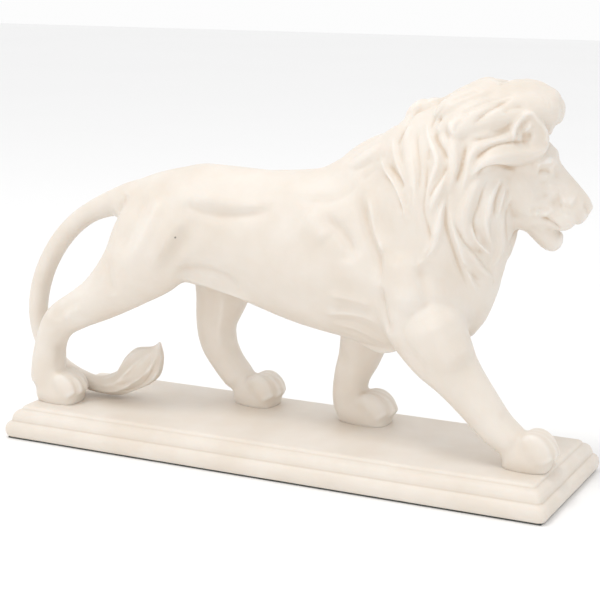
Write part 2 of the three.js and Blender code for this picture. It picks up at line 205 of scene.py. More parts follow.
def modified(piece, kind, **settings):
    """Puts a modifier on the piece and applies it."""
    modifier = piece.modifiers.new(kind.title(), kind)
    for key, value in settings.items():
        setattr(modifier, key, value)
    graph = bpy.context.evaluated_depsgraph_get()
    done = bpy.data.meshes.new_from_object(piece.evaluated_get(graph))
    piece.modifiers.clear()
    old, piece.data = piece.data, done
    bpy.data.meshes.remove(old)
    return piece


def one_skin(piece, grain):
    """Presses overlapping rolls of clay into one skin."""
    return modified(piece, "REMESH", mode="VOXEL", voxel_size=grain, adaptivity=0)


# The eye in front of the lion, in mm, and the width and focus of its picture in pixels
EYE = Vector((318.5, -635.5, 235.2))
LOOK_AT = Vector((3.771, 0, 73.582))
FRAME_PIXELS = 600
FOCUS_PIXELS = 1598.5
SIGHT = (LOOK_AT - EYE).normalized()
SIGHT_RIGHT = SIGHT.cross(Vector((0, 0, 1))).normalized()
SIGHT_UP = SIGHT_RIGHT.cross(SIGHT)


def read(items, name, width, kind):
    """A mesh's numbers as an array, with so many to a row."""
    numbers = np.empty(len(items) * width, kind)
    items.foreach_get(name, numbers)
    return numbers.reshape(-1, width)


class Skin:
    """The clay's surface as arrays, for the sculptor's thumbs and tools."""

    # How far a point goes in one round, of the way to the middle of its neighbours
    STEP = 0.5
    # The facing is taken anew after so many rounds of filling
    FACING_ROUNDS = 6
    # Steps from one point of a line in the picture to the next
    LINE_STEPS = 4
    # A stroke's reach, broad part and narrow part, in its own widths, and the broad part's share
    REACH, BROAD, NARROW = 4, 2, 0.9
    BROAD_SHARE = 0.4
    # The share of its line over which a stroke fades at each end, and how full it stays there
    FADE, FADE_POWER = 0.25, 0.7

    def __init__(self, piece):
        self.piece, mesh = piece, piece.data
        self.count = len(mesh.vertices)
        self.points = read(mesh.vertices, "co", 3, np.float32).astype(float)
        self.edges = read(mesh.edges, "vertices", 2, np.int32)
        self.degree = np.bincount(self.edges.ravel(), minlength=self.count)
        mesh.calc_loop_triangles()
        self.corners = read(mesh.loop_triangles, "vertices", 3, np.int32)
        self.tree = None

    def gathered(self, values, where):
        """The values added up at the points that they belong to."""
        return np.stack([np.bincount(where, values[:, k], self.count) for k in range(3)], 1)

    def normals(self):
        """The skin's facing at every point."""
        a, b, c = (self.points[self.corners[:, k]] for k in range(3))
        face = np.cross(b - a, c - a)
        return unit(sum(self.gathered(face, self.corners[:, k]) for k in range(3)))

    def pull(self, points):
        """From each point to the middle of its neighbours."""
        start, stop = self.edges.T
        total = self.gathered(points[stop], start) + self.gathered(points[start], stop)
        return total / self.degree[:, None] - points

    def smoothed(self, rounds, weight=1.0):
        """Evens the skin out."""
        weight = np.broadcast_to(weight, self.count)[:, None]
        for _ in range(rounds):
            self.points = self.points + self.STEP * weight * self.pull(self.points)

    def filled(self, rounds, weight):
        """Presses clay into the hollows between forms, and leaves the rounds as they are."""
        weight = np.broadcast_to(weight, self.count)
        for k in range(rounds):
            if k % self.FACING_ROUNDS == 0:
                normals = self.normals()
            pull = self.pull(self.points)
            out = np.einsum("ij,ij->i", pull, normals)
            level_pull = pull - out[:, None] * normals
            push = np.maximum(out, 0) * weight
            self.points = self.points + self.STEP * (level_pull + push[:, None] * normals)

    def hollows(self, rounds, spread_rounds):
        """How far each point lies under the skin's own average, and above it where negative."""
        normals, average = self.normals(), self.points
        for _ in range(rounds):
            average = average + self.STEP * self.pull(average)
        depth = np.einsum("ij,ij->i", average - self.points, normals)
        spread = np.stack([depth] * 3, 1)
        for _ in range(spread_rounds):
            spread = spread + self.STEP * self.pull(spread)
        return spread[:, 0].astype(np.float32)

    def search(self):
        """The skin's faces to search, as they were before a set of strokes."""
        if self.tree is None:
            points = [Vector(p) for p in self.points]
            self.tree = BVHTree.FromPolygons(points, self.corners.tolist())
        return self.tree

    def nearest(self, point, found=0):
        """The skin's nearest place to the point, or its facing there where found is 1."""
        return np.array(self.search().find_nearest(Vector(point))[found])

    def seen(self, points):
        """A line on the skin through points of the picture, in pixels."""
        middle = FRAME_PIXELS / 2
        line = spline(points, np.linspace(0, 1, self.LINE_STEPS * (len(points) - 1) + 1))
        hits = []
        for u, v in line:
            across, up = (u - middle) / FOCUS_PIXELS, (middle - v) / FOCUS_PIXELS
            way = SIGHT + SIGHT_RIGHT * across + SIGHT_UP * up
            hits.append(self.search().ray_cast(EYE, way.normalized())[0])
        return np.array([hit for hit in hits if hit is not None])

    def stroke(self, line, width, height, sharp=False):
        """Raises a ridge along the line, or presses a groove where the height is negative."""
        reach = self.REACH * width
        low, high = line.min(0) - reach, line.max(0) + reach
        near = np.nonzero(((self.points > low) & (self.points < high)).all(1))[0]
        points = self.points[near]
        best, at = np.full(len(near), np.inf), np.zeros(len(near))
        for k, (start, stop) in enumerate(zip(line[:-1], line[1:])):
            run = stop - start
            t = np.clip((points - start) @ run / max(run @ run, 1e-9), 0, 1)
            gap = np.linalg.norm(points - start - t[:, None] * run, axis=1)
            closer = gap < best
            best[closer] = gap[closer]
            at[closer] = (k + t[closer]) / (len(line) - 1)
        if sharp and height < 0:
            shape = np.exp(-best / width)
        else:
            broad = np.exp(-((best / (self.BROAD * width)) ** 2))
            narrow = np.exp(-((best / (self.NARROW * width)) ** 2))
            shape = self.BROAD_SHARE * broad + (1 - self.BROAD_SHARE) * narrow
        shape[best > reach] = 0
        ends = np.clip(np.minimum(at, 1 - at) / self.FADE, 0, 1)
        shape = shape * (3 * ends**2 - 2 * ends**3) ** self.FADE_POWER
        self.points[near] += self.skin_normals[near] * (height * shape)[:, None]

    def marked(self, marks, across, tool=1, relief=1, fine=0):
        """Makes each mark where it is seen, and carried across. The tool and the relief are
        shares of the marks' width and height, and a mark under the fine width is sharp."""
        for width, height, line in marks:
            near_side = self.seen(line)
            far_side = np.array([self.nearest(p) for p in across(near_side)])
            for half in (near_side, far_side):
                self.stroke(half, tool * width, relief * height, sharp=width < fine)

    def ready(self):
        """Takes the skin's facing once, before a set of strokes."""
        self.skin_normals = self.normals()
        self.tree = None

    def back(self):
        """Puts the worked surface back into the piece."""
        self.piece.data.vertices.foreach_set("co", self.points.astype(np.float32).ravel())
        self.piece.data.update()


clay = bmesh.new()
for roll in (TORSO, CROUP, WITHERS, NEAR_FORELEG, FAR_FORELEG, NEAR_HINDLEG, FAR_HINDLEG):
    drawn(clay, roll, sides=36, rows_per_span=8)
drawn(clay, MANE, sides=40, rows_per_span=8, lie=level)
drawn(clay, TAIL, sides=20, rows_per_span=5)


def carried(points, origin, turn):
    """The points turned about the upright and moved to the origin."""
    c, s = math.cos(turn), math.sin(turn)
    x, y, z = points.T
    return np.stack([origin[0] + c * x - s * y, origin[1] + s * x + c * y, origin[2] + z], 1)


def on_paw(name):
    """Carries a paw's own lengths, along its toes and up from the plinth, to its place."""
    place, *_, turn = PAWS[name]
    return lambda points: carried(points, (*place, PLINTH_TOP), math.radians(turn))


# Each paw's pad. Its stations are shares of the paw's length, height and half width.
for name, (_, length, width, height, _) in PAWS.items():
    pad = [
        [-1, 0, 0.38 * height, 0.56 * height, 0.88 * width],
        [0.3 * length, 0, 0.26 * height, 0.62 * height, 0.97 * width],
        [0.62 * length, 0, 0.2 * height, 0.56 * height, width],
        [0.86 * length, 0, 0.14 * height, 0.42 * height, 0.9 * width],
    ]
    drawn(clay, pad, sides=24, rows_per_span=6, place=on_paw(name))

# The clay's grain for the mass, and for the hair and the face
COARSE_GRAIN = 1.0
FINE_GRAIN = 0.65
# The legs are below this height and the tail is behind this place. They are filled less.
LEG_TOP = 60
TAIL_START = -95
LIMB_WEIGHT = 0.35

lion = one_skin(cast(clay, "lion_figurine"), COARSE_GRAIN)
skin = Skin(lion)
leg_or_tail = (skin.points[:, 2] < LEG_TOP) | (skin.points[:, 0] < TAIL_START)
skin.filled(rounds=70, weight=np.where(leg_or_tail, LIMB_WEIGHT, 1.0))
skin.smoothed(rounds=4)

# Muscles, folds and hollows, as they are seen in the picture: width and height in mm, and the
# line in its pixels. Those of the trunk are carried across to the lion's left side.
TRUNK_MARKS = [
    (2.2, -2.1, [(184, 202), (190, 207), (203, 212), (219, 215.5), (240, 215), (260, 212), (277, 207)]),
    (3, 1.5, [(193, 197), (210, 199), (226, 202), (250, 205), (272, 204)]),
    (2.2, -1.3, [(292, 198), (312, 200), (332, 200), (345, 194), (352, 188), (359, 181)]),
    (2.4, -2.6, [(322, 214), (334, 224), (343, 234), (350, 246), (355, 258)]),
    (5, 1.6, [(303, 214), (317, 226), (328, 240)]),
    (1.6, -1, [(338, 256), (348, 258), (358, 258)]),
    (2.2, -3, [(359, 190), (362, 205), (366, 223), (371, 240), (375.5, 253), (378, 272), (379, 291)]),
    (2.4, -2.4, [(379, 285), (381, 303), (384, 320), (390, 335)]),
    (2.8, 2, [(368, 192), (371, 210), (373, 227), (379, 243), (383, 255)]),
    (1.8, 2, [(178, 277), (192, 279), (207, 283), (224, 289), (241, 295), (262, 305)]),
    (3, -2, [(170, 275), (190, 271), (207, 272), (225, 279), (240, 287)]),
    (3.2, 1.7, [(164, 194), (156, 211), (147, 229), (137, 248), (124, 272)]),
    (4.5, -2.2, [(204, 210), (192, 228), (180, 246), (168, 263), (156, 280)]),
    (3.4, -1.7, [(146, 192), (137, 212), (129, 232), (120, 254)]),
    (4, 1.2, [(184, 212), (172, 232), (160, 252), (148, 270)]),
    (1.3, 0.9, [(326, 296), (338, 296), (350, 299), (364, 302), (379, 309)]),
    (1.2, -0.6, [(332, 302), (346, 303), (360, 307), (374, 313)]),
    (1.4, 1.2, [(322, 314), (336, 312), (352, 313), (368, 317), (382, 327)]),
    (1.1, -0.7, [(330, 307), (344, 308), (358, 311), (374, 317)]),
    (1.1, -0.8, [(328, 320), (342, 320), (358, 323), (372, 330), (384, 340)]),
    (1, -0.6, [(340, 328), (356, 332), (372, 340), (386, 349)]),
    (1, 0.6, [(334, 324), (350, 327), (366, 334), (382, 344)]),
    (2.2, -1.2, [(104, 250), (108, 268), (110, 282), (113, 296)]),
    (1.8, -1.7, [(117, 214), (121, 203), (127, 194)]),
    (1.5, -1.5, [(350, 172), (362, 166), (376, 160), (388, 152)]),
    (1.5, -1.2, [(345, 163), (358, 156), (372, 148), (384, 140)]),
    (1.4, -1.2, [(360, 181), (370, 172), (380, 166)]),
]
LEG_MARKS = [
    (2.4, -1.9, [(417, 264), (421, 278), (425, 292), (425, 305), (418, 317)]),
    (5.5, 1.8, [(394, 252), (401, 272), (405, 292), (402, 314)]),
    (8, 2.2, [(430, 316), (444, 342), (460, 370)]),
    (2.4, -1.6, [(403, 330), (408, 318), (418, 309), (430, 304), (442, 303), (454, 306), (464, 315)]),
    (2, -1.2, [(405, 316), (402, 330), (406, 344), (416, 358), (430, 374)]),
    (2.6, -0.8, [(440, 308), (449, 330), (460, 352)]),
    (1.8, -0.9, [(500, 412), (510, 421), (521, 431)]),
    (2.6, 0.9, [(47, 322), (52, 311), (60, 303), (70, 297)]),
    (1.8, -0.9, [(55, 320), (61, 312), (69, 306), (79, 301)]),
    (2.2, 0.8, [(64, 320), (71, 312), (81, 306)]),
    (1.8, -1.3, [(60, 342), (61, 354), (58, 368)]),
    (1.6, -0.8, [(54, 372), (64, 369), (74, 369), (83, 373)]),
    (2, 1, [(224, 285), (222, 308), (219, 335), (224, 350)]),
    (1.8, -0.8, [(214, 292), (212, 314), (209, 336)]),
    (2.4, -1, [(345, 350), (343, 372), (346, 392)]),
]

skin.ready()
skin.marked(TRUNK_MARKS, lambda line: line * (1, -1, 1))
for width, height, line in LEG_MARKS:
    skin.stroke(skin.seen(line), width, height)
skin.smoothed(rounds=1)
skin.back()


# The head, drawn in its own frame: x runs from the neck's pivot to the nose. It is turned to
# the lion's left.
HEAD_PIVOT = (88, 3, 0)
HEAD_TURN = math.radians(20)
SKULL = {
    "cranium": [
        [2, 0, 146, 12, 12], [12, 0, 143, 14, 14.5], [22, 0, 142, 12, 12.5], [29, 0, 140.5, 8, 8.5],
    ],
    "muzzle": [
        [12, 0, 133.5, 14, 14], [20, 0, 131.8, 13.5, 12.7], [28, 0, 129.2, 11, 9.6],
        [34, 0, 126, 9.8, 8], [39.5, 0, 122.2, 8, 7.6], [43.5, 0, 119.8, 5, 5.6],
    ],
    "bridge": [
        [25.5, 0, 143, 6, 6], [32, 0, 136.4, 4.6, 5], [38, 0, 130.2, 4.2, 4.4],
        [42.6, 0, 125, 4, 4.5], [45.6, 0, 121.8, 2.8, 4],
    ],
    "upper_lip": [
        [14, 0, 120, 7, 10.4], [22, 0, 118.6, 6.4, 9.6], [28, 0, 117.6, 4.6, 8.4],
        [32.5, 0, 116.6, 3, 5.6],
    ],
    "forehead": [
        [8, 0, 150, 10, 12], [17, 0, 149.4, 9, 11], [24, 0, 145.6, 6.6, 8], [27.5, 0, 142, 4.2, 5.6],
    ],
    "jaw": [
        [10, 0, 126.4, 7.4, 10.4], [18, 0, 121.2, 5.8, 9.4], [25, 0, 114.2, 5.2, 7.6],
        [30.5, 0, 109, 5.2, 6], [33.8, 0, 108.2, 4, 4.6],
    ],
}
PAIRED_FORMS = {
    "lip": [
        [29, -6.6, 120.6, 5, 3], [34.6, -5.6, 119.2, 5.8, 4.2], [38, -4, 119.8, 4.6, 4.2],
        [41, -1.6, 120.2, 3, 2.8],
    ],
    "sweep": [
        [-4, -8.5, 160, 8, 6.5], [6, -9, 162.5, 9, 7], [16, -8.5, 164, 8.6, 7],
        [24, -7, 164, 7.6, 6.5], [29.5, -4.5, 164, 5, 5],
    ],
    "cheek": [
        [9, -9, 140, 6, 4], [14, -10, 134, 8, 5], [18, -9.3, 127.5, 7.5, 5], [22, -7.6, 122, 5, 4],
    ],
    "brow": [
        [19, -9.5, 145.6, 3, 3], [25, -8.2, 144.2, 2.8, 2.8], [29, -5.8, 142.6, 2.6, 2.4],
        [31.4, -3.2, 140, 2, 2],
    ],
    "corner": [[23, -8, 125, 4, 3], [28, -7.4, 123, 4, 3.2], [31.4, -6.6, 121, 3.4, 2.6]],
    "eye": [[25, -7.9, 139.6, 1.4, 1.8], [27.2, -7.3, 138.4, 1.7, 1.9], [29.2, -6.3, 137.2, 1, 1.4]],
}
EAR = {
    "shell": [
        [17.3, -11.8, 146, 7, 3.6], [17.8, -12.9, 152, 7.8, 2.8], [18.4, -13.6, 157, 6.8, 2.2],
        [19, -14, 161, 3.8, 1.8], [19.3, -14.2, 163.4, 1.3, 1.1],
    ],
    "rim": [
        [12.4, -16.2, 150, 1.5, 2.2], [12.6, -16.8, 154.1, 1.6, 2], [13, -17, 157.4, 1.6, 1.8],
        [14.2, -16.7, 160, 1.5, 1.6], [16, -16.1, 162.2, 1.4, 1.4], [18.6, -15.6, 164, 1.3, 1.3],
        [20.6, -15, 163.6, 1.2, 1.3], [22.3, -14.4, 161, 1.3, 1.4], [24.2, -13.2, 158.6, 1.6, 1.7],
        [25.4, -12.4, 156, 2, 2], [25.6, -12, 152.5, 2.4, 2.4],
    ],
    "under_ear": [
        [16, -8.6, 143.4, 5, 4], [11, -10.6, 141.4, 6, 4.6], [5, -14, 141, 6, 5],
        [0, -16.6, 139, 5, 4],
    ],
    "temple": [
        [23, -8.4, 149.5, 7, 4.6], [15, -10.6, 151, 8, 6], [7, -14, 150.5, 8.5, 6.4],
        [1, -17, 148, 8, 5], [-4, -18.6, 144, 6, 3.6],
    ],
    "crown": [
        [18, -9.5, 164, 5, 5], [13, -11.4, 162.6, 6, 5.6], [5, -13, 161, 7, 6],
        [-4, -14.5, 159, 7, 5], [-12, -16, 156, 5, 4],
    ],
    "inner": [[16, -13, 151.5, 3, 2.4], [16.6, -14.2, 155.5, 4, 2], [18, -14.5, 159.5, 2.8, 1.4]],
    "lobe": [[18, -15.4, 156.6, 1.2, 1.4], [19.4, -15.6, 159, 1.5, 1.2], [20, -15.4, 160.8, 0.8, 0.9]],
    "roll": [
        [25.6, -11, 155, 1.6, 2], [25.4, -11.2, 151, 2.6, 2.8], [22, -12.4, 148.2, 3.6, 3.8],
        [15.4, -14.4, 146.8, 4.4, 4.4], [9, -17.2, 146.4, 4.4, 4.6], [3.8, -19.8, 145.2, 3.6, 4],
        [-0.6, -21.4, 142.6, 2.6, 3], [-4, -22, 139, 1.4, 2], [-6, -22.4, 135.6, 0.8, 1],
    ],
}
FORELOCK = [
    [-6, 0, 163, 11, 12], [4, 0, 164.5, 12.5, 13], [14, 0, 164.5, 12.7, 13],
    [22.6, 0, 163.5, 12, 12], [29.2, 0, 163.8, 9.5, 9.8], [32.2, 0, 163.5, 5.4, 5.8],
]


def on_head(points):
    """Carries the head's own lengths to its place on the neck."""
    return carried(points, HEAD_PIVOT, HEAD_TURN)


def mirrored(stations):
    """The same form on the other side of the head's middle."""
    return [[x, -y, *rest] for x, y, *rest in stations]


fine = bmesh.new()
fine.from_mesh(lion.data)
for form in SKULL.values():
    drawn(fine, form, sides=28, place=on_head)
drawn(fine, FORELOCK, sides=36, place=on_head)
for form in (*PAIRED_FORMS.values(), *EAR.values()):
    for half in (form, mirrored(form)):
        drawn(fine, half, sides=20, place=on_head)

# The toes: four to a paw, arched forward over the pad. The outer ones stand back a little.
TOES = (-1, -0.34, 0.34, 1)
TOE_SPREAD = 0.7
OUTER_SET_BACK = 0.13
for name, (_, length, width, height, _) in PAWS.items():
    for across in TOES:
        reach = length * (1 - OUTER_SET_BACK * across**2)
        b = TOE_SPREAD * across * width
        toe = [
            [0.3 * length, 0.75 * b, 0.64 * height, 0.24 * height, 0.28 * width],
            [0.57 * length, 0.9 * b, 0.66 * height, 0.32 * height, 0.35 * width],
            [0.82 * reach, 0.93 * b, 0.5 * height, 0.37 * height, 0.37 * width],
            [0.97 * reach, 0.92 * b, 0.28 * height, 0.32 * height, 0.34 * width],
        ]
        drawn(fine, toe, sides=16, place=on_paw(name))


# The mane: locks laid over the neck, each from its root to its point. The neck's middle is upright
# in the breast, and from there to the crest it runs forward and to the left.
CORE_X, CORE_FORWARD, CORE_LEFT = 72, 14, 8
CORE_START, CORE_RISE, CORE_TOP = 110, 60, 146


def mane_core(z):
    """The middle of the neck at that height, which the locks lie round."""
    rise = np.clip((z - CORE_START) / CORE_RISE, 0, 1)
    place = [CORE_X + CORE_FORWARD * rise, CORE_LEFT * rise, np.minimum(z, CORE_TOP)]
    return np.stack(place, -1)


def on_mane(along, centre):
    """Rings whose depth points away from the neck's middle."""
    outward = centre - mane_core(centre[:, 2])
    deep = unit(outward - along * np.einsum("ij,ij->i", outward, along)[:, None])
    return np.cross(deep, along), deep


# Locks that stand out of the mass: half width, half depth and line. The paired ones lie on both
# sides of the crest, the others along the nape, the crest, the breast and the belly.
PAIRED_LOCKS = [
    (5, 3.2, [(72, -9, 162), (78, -10, 166), (86, -6, 170), (95, -2, 172.5), (103, 0, 174)]),
    (5, 3.2, [(76, -15, 156), (83, -13, 161.5), (91, -9.5, 165.5), (99, -4, 168), (106, 1, 168)]),
]
CENTRE_LOCKS = [
    (3.4, 3, [(24, -7, 130), (34, -8.5, 137.5), (44, -9.5, 144), (54, -9, 150.5), (63, -8, 158)]),
    (4, 2.6, [(24, 8, 127), (34, 10, 134), (44, 12, 139.5), (54, 14, 146), (63, 16, 154)]),
    (4.4, 4.4, [(20, 0, 132.8), (32, 0, 140.8), (41, 0, 146.2), (48, 0.5, 150.4), (55, 1, 155.5)]),
    (5, 4, [(52, 1, 151), (56, 2, 157.6), (61, 3, 163.6), (68, 4, 165.8), (76, 5, 167)]),
    (5, 4, [
        (67, 4, 161.5), (74, 5, 166.8), (81, 7, 170), (88.4, 8.5, 173.8), (93.4, 9.2, 172.6),
        (99, 9.8, 171),
    ]),
    (5, 3.4, [
        (84, 9, 171), (94, 10, 173.3), (104, 11, 173.6), (112, 12.5, 171.8), (116.5, 13.5, 167),
        (117.5, 13.5, 160),
    ]),
    (4.4, 3.4, [
        (101, 2, 113), (98.6, 1, 104.5), (94.4, 0.5, 94), (91.6, 0, 84), (88, 0, 75), (84, 0, 68),
    ]),
    (4, 2.4, [(58, -5, 60), (47, -4, 58.5), (37, -3, 59), (27, -2, 61.5)]),
]


# A lock's swell: its size at the point, the fullness of its root, and its lean to the root
POINT_SIZE, ROOT_PLACE, ROOT_LEAN = 0.2, 0.08, 0.8
# The same for a laid lock, and how deep it is against its rise
LAID_ROOT, LAID_RUN, LAID_POWER = 0.06, 0.9, 0.75
LAID_DEPTH = 1.6
# Where the neck begins to lean to the left, and over what length
LEAN_START, LEAN_RUN = 35, 35


def lock(wide, deep, line):
    """A lock swells from its root and runs out to a point."""
    t = np.arange(len(line)) / (len(line) - 1)
    turn = math.pi * (ROOT_PLACE + (1 - ROOT_PLACE) * t) ** ROOT_LEAN
    swell = POINT_SIZE + (1 - POINT_SIZE) * np.sin(turn)
    stations = np.hstack([np.array(line, float), np.outer(swell, (deep, wide))])
    drawn(fine, stations, sides=30, rows_per_span=8, lie=on_mane)


def across_mane(line):
    """The line carried to the neck's left side. The neck leans to the left from the withers on."""
    x, y, z = np.array(line, float).T
    lean = mane_core(z)[:, 1] * np.clip((x - LEAN_START) / LEAN_RUN, 0, 1)
    return np.stack([x, 2 * lean - y, z], 1)


for wide, deep, line in PAIRED_LOCKS:
    lock(wide, deep, line)
    lock(wide, deep, across_mane(line))
for wide, deep, line in CENTRE_LOCKS:
    lock(wide, deep, line)

# The locks of the mane's side, as they are seen in the picture: half width and rise in mm, and
# the line in its pixels, from the root to the point
MANE_LOCKS = [
    (1.9, 1.5, [(381, 157), (385, 168), (390, 177), (395, 187), (400, 198), (404, 209), (406, 219)]),
    (2.3, 1.4, [(393, 140), (395, 152), (398, 162), (402, 172), (405, 182), (406, 194)]),
    (3.4, 1.4, [(412, 112), (408, 125), (408, 145), (410, 165), (413, 185), (412, 202), (407, 222)]),
    (2.2, 1.5, [
        (427, 122), (429, 136), (434, 150), (437, 159), (436, 168), (432, 179), (428, 190), (426, 203),
    ]),
    (3.4, 1.3, [(436, 124), (441, 114), (449, 106), (459, 99), (471, 94), (485, 89), (499, 86)]),
    (3.6, 1.5, [(446, 127), (453, 117), (463, 109), (475, 103), (489, 98), (503, 94)]),
    (4.6, 1.9, [(468, 130), (477, 125), (489, 118), (502, 111), (516, 106), (530, 104)]),
    (2.4, 1.2, [(468, 138), (480, 136), (492, 133), (504, 128)]),
    (2.4, 1.5, [
        (506, 139), (495, 141), (485, 144), (476, 149), (470, 157), (468, 167), (465, 180), (460, 196),
    ]),
    (1.8, 0.9, [(444, 122), (443, 132), (445, 144), (449, 157)]),
    (3.4, 1.8, [(459, 126), (455, 137), (453, 147), (453, 158), (453, 168), (451, 180), (449, 192)]),
    (2.8, 1.8, [(447, 170), (442, 182), (437, 192), (433, 202), (431, 213)]),
    (2.8, 1.9, [(444, 203), (440, 215), (438, 226), (435, 238), (431, 248), (425, 257), (417, 266)]),
    (1.7, 1.4, [(450, 212), (453, 227), (457, 240), (461, 252), (465, 264), (470, 276), (476, 290)]),
    (3.8, 1.3, [(456, 228), (462, 242), (469, 253), (477, 262), (485, 270), (494, 279)]),
    (1.8, 1.9, [(470, 222), (473, 233), (478, 242), (484, 249), (491, 255)]),
    (3.2, 1.5, [(482, 174), (474, 188), (468, 201), (464, 214), (463, 228), (467, 240), (474, 250)]),
    (2.4, 1.6, [(501, 177), (495, 188), (490, 199), (487, 212), (485, 224), (488, 237), (494, 248)]),
    (1.3, 1.1, [(507, 184), (503, 194), (500, 206), (498, 219)]),
    (1.3, 1.7, [(515, 181), (510, 190), (507, 200), (506, 213)]),
    (3, 1.2, [(503, 214), (501, 230), (501, 246), (497, 259), (489, 270)]),
]
skin.ready()


def laid(points, wide, rise):
    """A lock laid on the skin along a line of points."""
    facings = np.array([skin.nearest(p, 1) for p in points])
    t = np.linspace(0, 1, len(points))
    swell = np.sin(math.pi * (LAID_ROOT + LAID_RUN * t)) ** LAID_POWER
    deep = LAID_DEPTH * rise * swell
    middle = points + facings * (rise * swell - deep)[:, None]
    stations = np.column_stack([middle, deep, wide * swell])
    drawn(fine, stations, sides=20, rows_per_span=3, facings=facings)


for wide, rise, line in MANE_LOCKS:
    near_side = skin.seen(line)
    laid(near_side, wide, rise)
    laid(np.array([skin.nearest(p) for p in across_mane(near_side)]), wide, rise)

# The tail's tuft, which curls up and forward to a point
TUFT = [
    [-103, -1.8, 20.8, 4.2, 4.6], [-97, -1.5, 21.6, 5.2, 6.2], [-90.5, -1, 24, 6.2, 7.6],
    [-84.5, 0, 29.2, 8.6, 8], [-78.6, 0.5, 34.4, 8.6, 6.8], [-74.6, 1, 38.8, 5.2, 4.6],
    [-72.6, 1, 42.4, 2, 2.4], [-71.8, 1, 45, 0.6, 0.8],
]
drawn(fine, TUFT, sides=40, strands=9)

fine.to_mesh(lion.data)
fine.free()
one_skin(lion, FINE_GRAIN)
skin = Skin(lion)
# The joints of the face and the paws are filled. Hair, ears and tuft stay crisp.
FACE_START, FACE_FOOT, FACE_TOP = 19, 100, 148
PAW_TOP = 36
# The tail and its tuft lie between these places. The near paws stand beyond them.
TUFT_SPAN = (-108, -60)
NEAR_PAW_SIDE, NEAR_PAW_START = -4, 90
FAR_PAW_WEIGHT, HAIR_WEIGHT, LEAST_SMOOTHING = 0.6, 0.4, 0.5

x, y, z = skin.points.T
head_way = np.array([math.cos(HEAD_TURN), math.sin(HEAD_TURN), 0])
toward_nose = (skin.points - np.array(HEAD_PIVOT)) @ head_way
face = (toward_nose > FACE_START) & (z < FACE_TOP) & (z > FACE_FOOT)
paws = (z < PAW_TOP) & ((x < TUFT_SPAN[0]) | (x > TUFT_SPAN[1]))
soft = np.where(face | (paws & (y < 0)), 1.0, np.where(paws, FAR_PAW_WEIGHT, HAIR_WEIGHT))
skin.filled(rounds=24, weight=soft)
x, y, z = skin.points.T
near_paws = paws & (y < NEAR_PAW_SIDE) & (abs(x) > NEAR_PAW_START)
skin.filled(rounds=16, weight=np.where(near_paws, 1.0, 0))
skin.smoothed(rounds=2, weight=np.maximum(soft, LEAST_SMOOTHING))
skin.ready()

# Steps along the crest, as lines over it: width, height and (x, y, z)
CREST_MARKS = [
    (2.4, -2, [(95.6, 0, 175), (97.8, 9, 177), (99.6, 16, 176)]),
    (2, -1.8, [(69, -4, 166), (71.4, 5, 169), (72.4, 10, 168)]),
    (2.2, -2.4, [(51, -6, 154), (52.6, 0, 156.4), (53, 6, 154)]),
    (2, -1, [(61, -4, 160), (63, 4, 168), (64, 12, 160)]),
]
CREST_PLACES = np.linspace(0, 1, 9)
for width, height, line in CREST_MARKS:
    over = [skin.nearest(p) for p in spline(line, CREST_PLACES)]
    skin.stroke(np.array(over), width, height)

